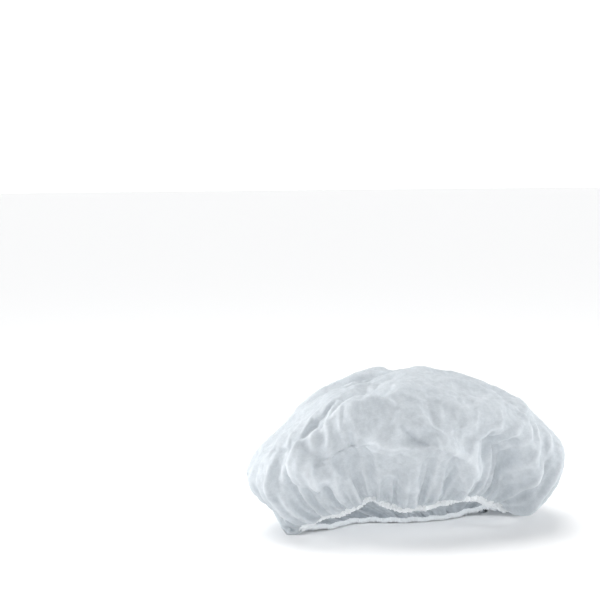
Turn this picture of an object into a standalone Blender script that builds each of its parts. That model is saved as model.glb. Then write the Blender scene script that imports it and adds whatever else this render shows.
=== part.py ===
"""A disposable bouffant cap of thin white nonwoven cloth, standing puffed up on its mouth.

The cap is a round sheet whose edge is folded round a strand of elastic and gathered in. Its
front faces -Y, its long side runs along X, and it rests on a floor at Z = 0, with the middle
of its box over the origin. Metres.
"""

import math
from collections import namedtuple

import bmesh
import bpy
import numpy as np

# The puffed crown, from its middle out
HALF_LENGTH = 0.165
FRONT = 0.110
BACK = 0.134
HEIGHT = 0.157

# The mouth, whose front is lifted off the floor
MOUTH_HALF = 0.117
MOUTH_FRONT = 0.057
MOUTH_LIFT = 0.042

# Cloth, elastic and the hem that is folded round it
CLOTH = 0.001
ELASTIC_DIAMETER = 0.0012
ELASTIC_PLAY = 0.0003
HEM_DROP = 0.0044
HEM_UPRIGHT = 1.3
SEAM_GAP = 0.0003

# Relief of the cloth
FOLD_HEIGHT = 0.012
FOLD_WIDTH = 0.012
GATHER_HEIGHT = 0.0040

# How finely the shapes are divided
GATHERS = 24
MERIDIANS = 4 * GATHERS
RINGS = 20
ELASTIC_SIDES = 6
SPLINE_STEPS = 12
PATH_STEPS = 5

# The rim of the mouth, anticlockwise from its right end: shares of MOUTH_HALF, of
# MOUTH_FRONT and of MOUTH_LIFT
RimPoint = namedtuple("RimPoint", "along across lift")
RIM_BACK = (
    RimPoint(1.00, -0.22, 0.15),
    RimPoint(0.92, -0.02, 0.17),
    RimPoint(0.77, 0.14, 0.15),
    RimPoint(0.58, 0.17, 0.07),
    RimPoint(0.37, 0.02, 0.04),
    RimPoint(0.00, 0.02, 0.04),
    RimPoint(-0.32, 0.24, 0.04),
    RimPoint(-0.52, 0.21, 0.04),
    RimPoint(-0.71, -0.02, 0.04),
    RimPoint(-0.90, -0.10, 0.07),
)
RIM_FRONT = (
    RimPoint(-1.00, -0.26, 0.12),
    RimPoint(-0.94, -0.50, 0.45),
    RimPoint(-0.77, -0.77, 0.64),
    RimPoint(-0.50, -0.94, 1.00),
    RimPoint(-0.29, -0.98, 0.73),
    RimPoint(0.00, -1.00, 0.69),
    RimPoint(0.36, -0.95, 0.83),
    RimPoint(0.62, -0.81, 0.60),
    RimPoint(0.86, -0.58, 0.46),
    RimPoint(0.97, -0.40, 0.32),
)

# Sections of the crown. Under its widest line they are shares of the way from the rim out
# and up to that line. Over it they are shares of the crown's own sizes.
Section = namedtuple(
    "Section", "end_out end_rise front_out front_rise back_out back_rise"
)
UNDERSIDE = (
    Section(0.23, -0.09, 0.32, 0.20, 0.35, -0.06),
    Section(0.52, 0.12, 0.62, 0.46, 0.64, -0.04),
    Section(0.81, 0.52, 0.87, 0.74, 0.88, 0.28),
)
DOME = (
    Section(1.00, 0.36, 1.00, 0.64, 1.00, 0.44),
    Section(0.95, 0.48, 0.95, 0.78, 0.96, 0.62),
    Section(0.85, 0.62, 0.82, 0.88, 0.84, 0.77),
    Section(0.70, 0.765, 0.61, 0.95, 0.66, 0.885),
    Section(0.50, 0.89, 0.38, 0.985, 0.44, 0.955),
    Section(0.26, 0.97, 0.17, 0.998, 0.21, 0.99),
)

# Folds and dents, each along a path over the cloth. A spot on a path is a turn round the cap
# in degrees, from the right end by the back, and a level from the rim, 0, to the top, 1.
# Widths and heights are shares of FOLD_WIDTH and FOLD_HEIGHT. A dent's height is negative.
Fold = namedtuple("Fold", "width height path")
FOLDS = (
    # The front panel set back, the lobes at its two sides, and the crown's uneven outline
    Fold(3.2, -1.1, ((236, 0.28), (300, 0.28))),
    Fold(2.4, 0.5, ((206, 0.22), (202, 0.40))),
    Fold(1.9, 0.7, ((326, 0.10), (322, 0.30))),
    Fold(3.6, -0.55, ((152, 0.46), (172, 0.60))),
    Fold(2.8, -1.0, ((120, 0.72), (138, 0.60))),
    Fold(2.0, -0.75, ((160, 0.13), (180, 0.14))),
    # The ridge that hangs over the panel on the left, down to the hem, and its two hollows
    Fold(1.3, 0.7, ((242, 0.58), (224, 0.46), (214, 0.38), (218, 0.28), (227, 0.17), (229, 0.05))),
    Fold(1.5, -0.8, ((208, 0.24), (218, 0.14))),
    Fold(1.6, -1.0, ((234, 0.36), (234, 0.18))),
    # Crumples across the panel and pleats up from the hem
    Fold(0.9, 0.6, ((243, 0.35), (268, 0.36))),
    Fold(1.1, -0.6, ((259, 0.42), (264, 0.42))),
    Fold(0.8, 0.6, ((270, 0.41), (278, 0.32), (290, 0.16))),
    Fold(0.8, 0.5, ((281, 0.20), (290, 0.05))),
    Fold(0.8, 0.5, ((238, 0.16), (244, 0.06))),
    Fold(0.7, 0.4, ((261, 0.22), (261, 0.05))),
    Fold(0.7, 0.4, ((271, 0.30), (273, 0.08))),
    # The right lobe's edge and the hollow beside it
    Fold(1.4, -1.2, ((288, 0.34), (298, 0.24), (309, 0.12))),
    Fold(1.0, 0.8, ((302, 0.40), (311, 0.26), (322, 0.10))),
    # Creases over the top and on the left end
    Fold(0.8, -0.35, ((241, 0.62), (262, 0.64))),
    Fold(0.8, -0.4, ((189, 0.40), (208, 0.37), (220, 0.55))),
    # Soft folds at the back
    Fold(1.6, 0.5, ((70, 0.25), (62, 0.60))),
    Fold(1.6, -0.5, ((112, 0.22), (120, 0.50))),
    Fold(1.4, 0.4, ((92, 0.58), (140, 0.62))),
)


def smooth_step(value, low, high):
    share = np.clip((value - low) / (high - low), 0.0, 1.0)
    return share * share * (3.0 - 2.0 * share)


def curve_through(points, closed):
    """Points of a Catmull-Rom curve through rows of points, SPLINE_STEPS to each span."""
    points = np.asarray(points)
    count = len(points)
    spans = count if closed else count - 1
    rows = []
    for span in range(spans):
        if closed:
            near = [points[(span + step) % count] for step in (-1, 0, 1, 2)]
        else:
            near = [points[min(max(span + step, 0), count - 1)] for step in (-1, 0, 1, 2)]
        before, start, end, after = near
        for step in range(SPLINE_STEPS):
            share = step / SPLINE_STEPS
            rows.append(
                start
                + 0.5 * share * (end - before)
                + share**2 * (before - 2.5 * start + 2.0 * end - 0.5 * after)
                + share**3 * (1.5 * (start - end) + 0.5 * (after - before))
            )
    rows.append(points[0] if closed else points[-1])
    return np.array(rows)


def evenly_spaced(line, count):
    """Points at equal distances along a line, its last point included."""
    lengths = np.linalg.norm(np.diff(line, axis=0), axis=1)
    along = np.concatenate([[0.0], np.cumsum(lengths)])
    marks = np.linspace(0.0, along[-1], count + 1)
    return np.stack([np.interp(marks, along, column) for column in line.T], axis=1)


def rim_line():
    """The cloth's lower edge at each meridian, from the right end round by the back."""
    sizes = np.array([MOUTH_HALF, MOUTH_FRONT, MOUTH_LIFT])
    line = curve_through(np.array(RIM_BACK + RIM_FRONT) * sizes, True)
    left_end = len(RIM_BACK) * SPLINE_STEPS
    half = MERIDIANS // 2
    back = evenly_spaced(line[: left_end + 1], half)[:-1]
    front = evenly_spaced(line[left_end:], half)[:-1]
    return np.concatenate([back, front])


def meridian_turns():
    """The turn of each meridian, evenly spaced along the crown's widest line."""
    turns = []
    for side, depth in ((0, BACK), (1, FRONT)):
        turn = np.linspace(side * math.pi, (side + 1) * math.pi, 721)
        half_line = np.stack([HALF_LENGTH * np.cos(turn), depth * np.sin(turn), turn], axis=1)
        step = np.linalg.norm(np.diff(half_line[:, :2], axis=0), axis=1)
        along = np.concatenate([[0.0], np.cumsum(step)])
        marks = np.linspace(0.0, along[-1], MERIDIANS // 2 + 1)[:-1]
        turns.append(np.interp(marks, along, turn))
    return np.concatenate(turns)


def blend_round(section, turns):
    """A section's out and rise at each meridian, blended from its end, front and back."""
    side = smooth_step(np.abs(np.sin(turns)), 0.30, 0.95)
    front = np.sin(turns) < 0.0
    side_out = np.where(front, section.front_out, section.back_out)
    side_rise = np.where(front, section.front_rise, section.back_rise)
    out = section.end_out * (1.0 - side) + side_out * side
    rise = section.end_rise * (1.0 - side) + side_rise * side
    return out, rise, side_out


def dome_section(section, turns):
    _, rise, side_out = blend_round(section, turns)
    depth = np.where(np.sin(turns) < 0.0, FRONT, BACK)
    return np.stack(
        [
            HALF_LENGTH * section.end_out * np.cos(turns),
            depth * side_out * np.sin(turns),
            HEIGHT * rise,
        ],
        axis=1,
    )


def smooth_crown():
    """The crown without its relief: an array of meridians by rings, from top to rim."""
    turns = meridian_turns()
    rim = rim_line()
    dome = [dome_section(section, turns) for section in DOME]
    widest = dome[0]
    rows = [rim]
    for section in UNDERSIDE:
        out, rise, _ = blend_round(section, turns)
        rows.append(rim + (widest - rim) * np.stack([out, out, rise], axis=1))
    rows += dome
    rows.append(np.tile([0.0, 0.0, HEIGHT], (MERIDIANS, 1)))
    rows = np.array(rows[::-1])
    return np.array(
        [evenly_spaced(curve_through(rows[:, i], False), RINGS) for i in range(MERIDIANS)]
    )


def outward_normals(crown):
    around = np.roll(crown, -1, axis=0) - np.roll(crown, 1, axis=0)
    down = np.gradient(crown, axis=1)
    normals = np.cross(down, around)
    normals[:, 0] = (0.0, 0.0, 1.0)
    return normals / np.linalg.norm(normals, axis=2, keepdims=True)


def spot(crown, turn, level):
    """The point of the smooth crown at a turn in degrees and a level from the rim."""
    marks = np.degrees(meridian_turns())
    marks = np.append(marks, 360.0)
    place = np.interp(turn % 360.0, marks, np.arange(MERIDIANS + 1))
    ring = (1.0 - level) * RINGS
    near, far = int(place), int(ring)
    share, part = place - near, ring - far
    ahead, below = (near + 1) % MERIDIANS, min(far + 1, RINGS)
    near %= MERIDIANS
    upper = crown[near, far] * (1.0 - share) + crown[ahead, far] * share
    lower = crown[near, below] * (1.0 - share) + crown[ahead, below] * share
    return upper * (1.0 - part) + lower * part


def distance_to_fold(crown, path):
    """How far each point of the crown lies from a path of spots that follows the cloth."""
    spots = [
        spot(crown, start[0] + (end[0] - start[0]) * share, start[1] + (end[1] - start[1]) * share)
        for start, end in zip(path[:-1], path[1:])
        for share in np.linspace(0.0, 1.0, PATH_STEPS)
    ]
    nearest = np.full(crown.shape[:2], np.inf)
    for start, end in zip(spots[:-1], spots[1:]):
        run = end - start
        length = max(run @ run, 1e-12)
        share = np.clip((crown - start) @ run / length, 0.0, 1.0)
        gap = np.linalg.norm(crown - start - share[..., None] * run, axis=2)
        nearest = np.minimum(nearest, gap)
    return nearest


def gather_relief(crown):
    """Pleats that fan out from the hem and fade on the way up."""
    meridian = np.arange(MERIDIANS)[:, None]
    level = np.linspace(1.0, 0.0, RINGS + 1)[None, :]
    uneven = 0.75 + 0.25 * np.sin(1.7 * meridian)
    wave = np.sin(2.0 * math.pi * meridian * GATHERS / MERIDIANS + 0.6)
    fade = (0.3 + 0.7 * smooth_step(level, 0.0, 0.08)) * (1.0 - smooth_step(level, 0.12, 0.42))
    return GATHER_HEIGHT * uneven * wave * fade


def cloth_surface():
    """The crown's outer face with its relief, flattened on the floor and centred over Z."""
    crown = smooth_crown()
    relief = gather_relief(crown)
    for fold in FOLDS:
        gap = distance_to_fold(crown, fold.path)
        relief += FOLD_HEIGHT * fold.height * np.exp(-((gap / (FOLD_WIDTH * fold.width)) ** 2))
    crown = crown + outward_normals(crown) * relief[..., None]
    crown[..., 2] = np.maximum(crown[..., 2], 0.0)
    low, high = crown.min(axis=(0, 1)), crown.max(axis=(0, 1))
    crown[..., :2] -= 0.5 * (low + high)[:2]
    return crown


def cloth_material(name, colour, roughness):
    material = bpy.data.materials.new(name)
    material.use_nodes = True
    shader = material.node_tree.nodes["Principled BSDF"]
    shader.inputs["Base Color"].default_value = colour
    shader.inputs["Roughness"].default_value = roughness
    shader.inputs["Metallic"].default_value = 0.0
    return material


def add_object(name, mesh, material, collection):
    piece = bpy.data.objects.new(name, mesh)
    collection.objects.link(piece)
    mesh.materials.append(material)
    mesh.shade_smooth()
    return piece


def make_crown(surface, material, collection):
    """A sphere opened at its lower pole, shaped to the cloth and given its thickness."""
    shape = bmesh.new()
    bmesh.ops.create_uvsphere(
        shape, u_segments=MERIDIANS, v_segments=RINGS + 1, radius=1.0
    )
    shape.verts.ensure_lookup_table()
    lower_pole = min(shape.verts, key=lambda vert: vert.co.z)
    bmesh.ops.delete(shape, geom=[lower_pole], context="VERTS")
    for vert in shape.verts:
        ring = round(math.acos(max(-1.0, min(1.0, vert.co.z))) / math.pi * (RINGS + 1))
        turn = math.atan2(vert.co.y, vert.co.x) / (2.0 * math.pi)
        meridian = round(turn * MERIDIANS) % MERIDIANS
        vert.co = surface[meridian, ring]
    mesh = bpy.data.meshes.new("crown")
    shape.to_mesh(mesh)
    shape.free()
    crown = add_object("crown", mesh, material, collection)
    wall = crown.modifiers.new("wall", "SOLIDIFY")
    wall.thickness = CLOTH
    wall.offset = -1.0
    wall.use_even_offset = False
    return crown


def rim_frames(surface):
    """At each meridian of the rim: its point, the way up the hem and the way out of it.

    The hem lies along the wall, and hangs more upright the higher the rim is lifted.
    """
    rim = surface[:, RINGS]
    up = surface[:, RINGS - 1] - rim
    up /= np.linalg.norm(up, axis=1, keepdims=True)
    up[:, 2] += HEM_UPRIGHT * smooth_step(rim[:, 2] / MOUTH_LIFT, 0.25, 0.6)
    along = np.roll(rim, -1, axis=0) - np.roll(rim, 1, axis=0)
    out = np.cross(along, up)
    up = np.cross(out, along)
    out /= np.linalg.norm(out, axis=1, keepdims=True)
    up /= np.linalg.norm(up, axis=1, keepdims=True)
    return rim, up, out


def sweep_round(surface, section):
    """A closed ring whose section, in metres out of and up the hem, follows the rim."""
    rim, up, out = rim_frames(surface)
    shape = bmesh.new()
    loops = []
    for point, rise, reach in zip(rim, up, out):
        places = [point + reach * across + rise * height for across, height in section]
        loops.append([shape.verts.new((x, y, max(z, 0.0))) for x, y, z in places])
    for here, ahead in zip(loops, loops[1:] + loops[:1]):
        for corner in range(len(section)):
            after = (corner + 1) % len(section)
            shape.faces.new((here[corner], here[after], ahead[after], ahead[corner]))
    bmesh.ops.recalc_face_normals(shape, faces=shape.faces)
    mesh = bpy.data.meshes.new("ring")
    shape.to_mesh(mesh)
    shape.free()
    return mesh


def make_hem(surface, material, collection):
    """The cloth's edge, folded under and back up round the elastic."""
    channel = ELASTIC_DIAMETER + 2.0 * ELASTIC_PLAY
    wide = channel + 2.0 * CLOTH
    top = -SEAM_GAP
    bottom = top - HEM_DROP
    bend = 0.8 * CLOTH
    section = (
        (0.0, top),
        (0.0, bottom + bend),
        (-bend, bottom),
        (-wide + bend, bottom),
        (-wide, bottom + bend),
        (-wide, top - CLOTH),
        (-wide + CLOTH, top - CLOTH),
        (-wide + CLOTH, bottom + CLOTH),
        (-CLOTH, bottom + CLOTH),
        (-CLOTH, top),
    )
    return add_object("hem", sweep_round(surface, section), material, collection)


def make_elastic(surface, material, collection):
    """The strand of elastic, lying in the bottom of the hem's channel."""
    radius = 0.5 * ELASTIC_DIAMETER
    across = -(CLOTH + ELASTIC_PLAY + radius)
    height = -(SEAM_GAP + HEM_DROP) + CLOTH + ELASTIC_PLAY + radius
    turns = [2.0 * math.pi * side / ELASTIC_SIDES for side in range(ELASTIC_SIDES)]
    section = [
        (across + radius * math.cos(turn), height + radius * math.sin(turn)) for turn in turns
    ]
    return add_object("elastic", sweep_round(surface, section), material, collection)


def main():
    for old in list(bpy.data.objects):
        bpy.data.objects.remove(old)
    collection = bpy.data.collections.new("bouffant_cap")
    bpy.context.scene.collection.children.link(collection)
    cloth = cloth_material("spunbond_cloth", (0.86, 0.89, 0.91, 1.0), 0.75)
    edge = cloth_material("hem_cloth", (0.93, 0.94, 0.95, 1.0), 0.7)
    rubber = cloth_material("elastic_strand", (0.85, 0.84, 0.80, 1.0), 0.55)
    surface = cloth_surface()
    make_crown(surface, cloth, collection)
    make_hem(surface, edge, collection)
    make_elastic(surface, rubber, collection)


main()
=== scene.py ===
"""The looks of a disposable bouffant cap: thin white nonwoven cloth, gathered on elastic."""

import math
from collections import namedtuple

import bpy
import numpy as np
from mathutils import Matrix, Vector, noise


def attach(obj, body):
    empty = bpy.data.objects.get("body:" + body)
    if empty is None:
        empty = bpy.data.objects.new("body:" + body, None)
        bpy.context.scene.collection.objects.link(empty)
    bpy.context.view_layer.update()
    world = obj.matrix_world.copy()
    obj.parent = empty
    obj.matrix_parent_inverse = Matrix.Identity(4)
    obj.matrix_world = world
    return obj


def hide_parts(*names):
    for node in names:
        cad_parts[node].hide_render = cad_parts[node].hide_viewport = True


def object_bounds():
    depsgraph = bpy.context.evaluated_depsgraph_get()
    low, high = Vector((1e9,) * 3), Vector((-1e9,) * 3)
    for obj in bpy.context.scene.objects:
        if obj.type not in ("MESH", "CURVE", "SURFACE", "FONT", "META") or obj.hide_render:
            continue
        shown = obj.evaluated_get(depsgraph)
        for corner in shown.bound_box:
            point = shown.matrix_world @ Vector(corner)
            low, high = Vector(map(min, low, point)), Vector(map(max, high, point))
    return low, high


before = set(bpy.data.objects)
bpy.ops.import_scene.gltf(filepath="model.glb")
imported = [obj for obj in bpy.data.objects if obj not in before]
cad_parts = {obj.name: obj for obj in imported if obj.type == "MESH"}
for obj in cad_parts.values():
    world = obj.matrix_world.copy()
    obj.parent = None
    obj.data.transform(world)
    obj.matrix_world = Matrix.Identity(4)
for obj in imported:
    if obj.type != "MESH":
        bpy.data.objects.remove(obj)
CAD_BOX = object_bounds()

bl_info = {
    "name": "Bouffant cap",
    "version": (1, 0, 0),
    "blender": (4, 5, 0),
    "location": "3D View > Sidebar > Bouffant cap",
    "description": "Models a disposable bouffant cap of gathered nonwoven cloth and its stage",
    "category": "Object",
}

# The rim of the mouth, anticlockwise from its right end: shares of the mouth's half length,
# of its reach to the front and of its lift off the floor
RimPoint = namedtuple("RimPoint", "along across lift")
RIM_BACK = (
    RimPoint(1.00, -0.22, 0.15),
    RimPoint(0.92, -0.02, 0.17),
    RimPoint(0.77, 0.14, 0.15),
    RimPoint(0.58, 0.17, 0.07),
    RimPoint(0.37, 0.02, 0.04),
    RimPoint(0.00, 0.02, 0.04),
    RimPoint(-0.32, 0.24, 0.04),
    RimPoint(-0.52, 0.21, 0.04),
    RimPoint(-0.71, -0.02, 0.04),
    RimPoint(-0.90, -0.10, 0.07),
)
RIM_FRONT = (
    RimPoint(-1.00, -0.26, 0.12),
    RimPoint(-0.94, -0.50, 0.45),
    RimPoint(-0.77, -0.77, 0.64),
    RimPoint(-0.50, -0.94, 1.00),
    RimPoint(-0.29, -0.98, 0.73),
    RimPoint(0.00, -1.00, 0.69),
    RimPoint(0.36, -0.95, 0.83),
    RimPoint(0.62, -0.81, 0.60),
    RimPoint(0.86, -0.58, 0.46),
    RimPoint(0.97, -0.40, 0.32),
)

# Sections of the crown. Under its widest line they are shares of the way from the rim out
# and up to that line. Over it they are shares of the crown's own sizes.
Section = namedtuple(
    "Section", "end_out end_rise front_out front_rise back_out back_rise"
)
UNDERSIDE = (
    Section(0.23, -0.09, 0.32, 0.20, 0.35, -0.06),
    Section(0.52, 0.12, 0.62, 0.46, 0.64, -0.04),
    Section(0.81, 0.52, 0.87, 0.74, 0.88, 0.28),
)
DOME = (
    Section(1.00, 0.36, 1.00, 0.64, 1.00, 0.44),
    Section(0.95, 0.48, 0.95, 0.78, 0.96, 0.62),
    Section(0.85, 0.62, 0.82, 0.88, 0.84, 0.77),
    Section(0.70, 0.765, 0.61, 0.95, 0.66, 0.885),
    Section(0.50, 0.89, 0.38, 0.985, 0.44, 0.955),
    Section(0.26, 0.97, 0.17, 0.998, 0.21, 0.99),
)

# Folds and dents, each along a path over the cloth. A spot on a path is a turn round the cap
# in degrees, from the right end by the back, and a level from the rim, 0, to the top, 1.
# Widths and heights are shares of the fold width and height. A dent's height is negative.
Fold = namedtuple("Fold", "width height path")
MAIN_FOLDS = (
    # The front panel set back, the lobes at its two sides, and the crown's uneven outline
    Fold(3.2, -1.1, ((236, 0.28), (300, 0.28))),
    Fold(2.4, 0.5, ((206, 0.22), (202, 0.40))),
    Fold(1.9, 0.7, ((326, 0.10), (322, 0.30))),
    Fold(3.6, -0.55, ((152, 0.46), (172, 0.60))),
    Fold(2.8, -1.0, ((120, 0.72), (138, 0.60))),
    Fold(2.0, -0.75, ((160, 0.13), (180, 0.14))),
    # The ridge that hangs over the panel on the left, down to the hem, and its two hollows
    Fold(1.3, 0.7, ((242, 0.58), (224, 0.46), (214, 0.38), (218, 0.28), (227, 0.17), (229, 0.05))),
    Fold(1.5, -0.8, ((208, 0.24), (218, 0.14))),
    Fold(1.6, -1.0, ((234, 0.36), (234, 0.18))),
    # Crumples across the panel and pleats up from the hem
    Fold(0.9, 0.5, ((248, 0.35), (268, 0.36))),
    Fold(1.1, -0.6, ((259, 0.42), (264, 0.42))),
    Fold(0.8, 0.6, ((270, 0.41), (278, 0.32), (290, 0.16))),
    Fold(0.8, 0.5, ((281, 0.20), (290, 0.05))),
    Fold(0.8, 0.5, ((238, 0.16), (244, 0.06))),
    Fold(0.7, 0.4, ((261, 0.22), (261, 0.05))),
    Fold(0.7, 0.4, ((271, 0.30), (273, 0.08))),
    # The right lobe's edge and the hollow beside it
    Fold(1.4, -1.2, ((288, 0.34), (298, 0.24), (309, 0.12))),
    Fold(1.0, 0.8, ((302, 0.40), (311, 0.26), (322, 0.10))),
    # Creases over the top and on the left end
    Fold(0.8, -0.35, ((241, 0.62), (262, 0.64))),
    Fold(0.8, -0.4, ((189, 0.40), (208, 0.37), (220, 0.55))),
    # Soft folds at the back
    Fold(1.6, 0.5, ((70, 0.25), (62, 0.60))),
    Fold(1.6, -0.5, ((112, 0.22), (120, 0.50))),
    Fold(1.4, 0.4, ((92, 0.58), (140, 0.62))),
)
FINE_FOLDS = (
    # The overhanging ridge's crest on the left, and the creases that branch off it
    Fold(0.30, 0.22, ((240, 0.60), (224, 0.46), (215, 0.39), (218, 0.30), (226, 0.20), (228, 0.08))),
    Fold(0.22, -0.16, ((189, 0.40), (200, 0.38), (211, 0.38), (214, 0.44), (219, 0.55))),
    Fold(0.20, 0.14, ((206, 0.36), (211, 0.35), (215, 0.28))),
    Fold(0.22, 0.14, ((219, 0.30), (227, 0.26), (232, 0.14), (231, 0.03))),
    Fold(0.20, -0.14, ((214, 0.22), (222, 0.16), (226, 0.06))),
    # Crumples over the panel
    Fold(0.28, 0.20, ((238, 0.33), (246, 0.37), (256, 0.36), (268, 0.37))),
    Fold(0.22, 0.14, ((243, 0.31), (255, 0.33), (264, 0.30))),
    Fold(0.24, 0.18, ((267, 0.42), (272, 0.36), (279, 0.30), (288, 0.20), (291, 0.08))),
    Fold(0.22, -0.16, ((255, 0.46), (261, 0.40), (266, 0.36))),
    Fold(0.22, 0.14, ((269, 0.33), (270, 0.20), (272, 0.06))),
    Fold(0.20, 0.14, ((262, 0.30), (261, 0.16), (262, 0.04))),
    Fold(0.22, 0.16, ((279, 0.24), (284, 0.14), (288, 0.04))),
    Fold(0.20, 0.12, ((238, 0.17), (243, 0.08), (249, 0.03))),
    Fold(0.22, 0.12, ((248, 0.20), (256, 0.16), (262, 0.14))),
    Fold(0.24, 0.16, ((299, 0.38), (306, 0.28), (310, 0.18), (320, 0.06))),
    Fold(0.24, -0.14, ((286, 0.36), (294, 0.30), (302, 0.16))),
    # Light creases over the top, the right lobe and the back
    Fold(0.35, -0.10, ((236, 0.62), (252, 0.66), (270, 0.66))),
    Fold(0.35, 0.10, ((262, 0.52), (285, 0.55), (300, 0.60))),
    Fold(0.30, 0.08, ((330, 0.30), (326, 0.45), (318, 0.58))),
    Fold(0.30, -0.08, ((340, 0.20), (342, 0.36), (338, 0.50))),
    Fold(0.30, 0.10, ((190, 0.20), (196, 0.30), (194, 0.44))),
    Fold(0.40, 0.14, ((62, 0.20), (70, 0.38), (66, 0.60))),
    Fold(0.40, -0.12, ((100, 0.16), (108, 0.34), (122, 0.52))),
    Fold(0.35, 0.10, ((30, 0.30), (46, 0.44), (60, 0.60))),
    Fold(0.35, -0.10, ((134, 0.24), (146, 0.40), (150, 0.60))),
)

SPLINE_STEPS = 12
PATH_STEPS = 5

# Main gathers: how many round the rim, how uneven, how fast that changes, and where they start
MAIN_GATHERS = 24
GATHERS_UNEVEN = 0.25
GATHERS_CHANGE = 6.8
GATHERS_START = 0.6

# Pleats: how many round the rim, the level that they reach up to, height share and seed
PLEAT_BANDS = (
    (137, 0.13, 0.7, 1.0),
    (89, 0.30, 0.7, 4.0),
    (53, 0.50, 0.75, 7.0),
)

# How far a pleat wanders sideways, in pleats, and how fast up the wall and round the rim
PLEAT_WANDER = 0.9
WANDER_UP = 9.0
WANDER_ROUND = 14.0

# A pleat's crest: half its width, in pleats, and the share of its height that lies inward
CREST_WIDTH = 0.2
CREST_LEVEL = 0.35

# The share of the pleats' relief that the hem leaves, and how much deeper they are behind
PLEATS_AT_RIM = 0.34
PLEATS_BEHIND = 0.7

# Crumples: size in metres, height share, stretch up the wall and place in the noise. A
# negative height turns the puffs into dents with sharp ridges between them.
CRUMPLES = (
    (0.020, -0.28, 2.2, 7.7),
    (0.010, 0.16, 1.8, 12.9),
    (0.0055, -0.12, 1.2, 21.3),
)
NOISE_SEED = 3

# How sharp the relief of folds is: 2 is round, and less is a crease
ROUND_FOLD = 2.0
SHARP_FOLD = 1.4

# The sheet that is let buckle: its grid, its scale in the solver, how long it moves, how much
# wider than its place it is, how stiff and how firmly held, and the relief that it starts with
SIM_MERIDIANS = 216
SIM_RINGS = 84
SIM_SCALE = 10.0
SIM_DIGITS = 5
SIM_FRAMES = 26
SIM_GROWTH = 0.115
SIM_STRETCHING = 20.0
SIM_SHEAR = 5.0
SIM_BENDING = 0.12
LOOSE_PIN = 0.03
SEED_SHARE = 0.6
SEED_CRUMPLE = 0.15

# The broad drift that is taken back: its reach, the step between its samples, and how many
# points are worked out at once
DRIFT_REACH = 0.022
DRIFT_STEP = 7
DRIFT_BLOCK = 2000

# How many rings are evened out round the top
POLE_RINGS = 4

# The level up to which the hem holds the cloth in its place
HEM_REACH = 0.10

# How often the buckled sheet is softened, and the grid that gives the relief its directions
SOFTENINGS = 1
NORMAL_SOFTENINGS = 6

# The share of the fine relief that is added over the buckled sheet
FINE_SHARE = 0.66

# The relief at which the painted light is full: a crest this high gets the whitest, densest cloth
# colour and a hollow this deep the greyest, thinnest one, as painted highlight and painted shade
PAINTED_LIGHT_RELIEF = 0.0035

# How far the hem turns upright where its rim is lifted, and the shares of the mouth's lift
# between which it does
HEM_UPRIGHT = 1.3
UPRIGHT_FROM = 0.25
UPRIGHT_TO = 0.6

# Half of how far the hem reaches up over the crown's edge, and how far inward of that edge its
# middle is, as a share of its half width
HEM_OVERLAP = 0.0013
HEM_INWARD = 0.12

# The hem's width where it lies low, as a share, and the lifts between which it widens
HEM_FLAT = 0.78
WIDENS_FROM = 0.2
WIDENS_TO = 0.5

# The hem's section, from -1 at the bottom to 1 at the top: its pinch over the elastic, how much
# narrower its top is, and how round its sides are
PINCH_AT = 0.40
PINCH_REACH = 0.20
PINCH_DEPTH = 0.45
TOP_NARROWER = 0.20
SIDE_ROUNDNESS = 0.6

# Where the hem is bunched up at the corners of the mouth: share of the way round the rim,
# reach and growth
HEM_BUNCHES = (
    (0.535, 0.012, 0.60),
    (0.930, 0.012, 0.35),
)

# Ruches of the hem: how many round the rim, height share and seed
HEM_RUCHES = (
    (211, 0.42, 2.0),
    (127, 0.40, 5.0),
    (61, 0.25, 9.0),
)

# How far ruches swell the hem outwards and upwards, how thin they may leave it, and how thin and
# thick its inner side gets
RUCHE_OUT = 0.9
RUCHE_UP = 0.25
RUCHE_THINNEST = 0.76
INNER_PUFF = (0.97, 1.1)

# The image's pixels, the sensor, where the cap's middle stands in the image, and its place
IMAGE = 600
SENSOR = 36.0
CAP_AT = (406.5, 450.0)
AIM = (-0.0004, -0.0122, 0.075)

# The floor's radius, and how far it lies below the cap
FLOOR_RADIUS = 40.0
FLOOR_GAP = 0.0002

# Soft boxes at the sides: name, size, watts, place and what they point at
SOFT_BOXES = (
    ("left_side", 0.8, 19.5, (-1.5, 0.35, 0.5), (0.0, 0.0, 0.06)),
    ("right_side", 0.8, 13.5, (1.3, -0.6, 0.5), (0.0, 0.0, 0.06)),
)

# The wide light from the ceiling: strength, angle across and the way that it shines
CEILING_STRENGTH = 2.2
CEILING_ANGLE = math.radians(50.0)
CEILING_WAY = (0.1, -0.35, -1.0)

# The backdrop: the heights between which it fades, the share left overhead, and its strength
# behind the camera and behind the cap
BACKDROP_FADE = (0.14, 0.25)
OVERHEAD_SHARE = 0.2
FRONT_STRENGTH = 1.35
BACK_STRENGTH = 1.9


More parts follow.
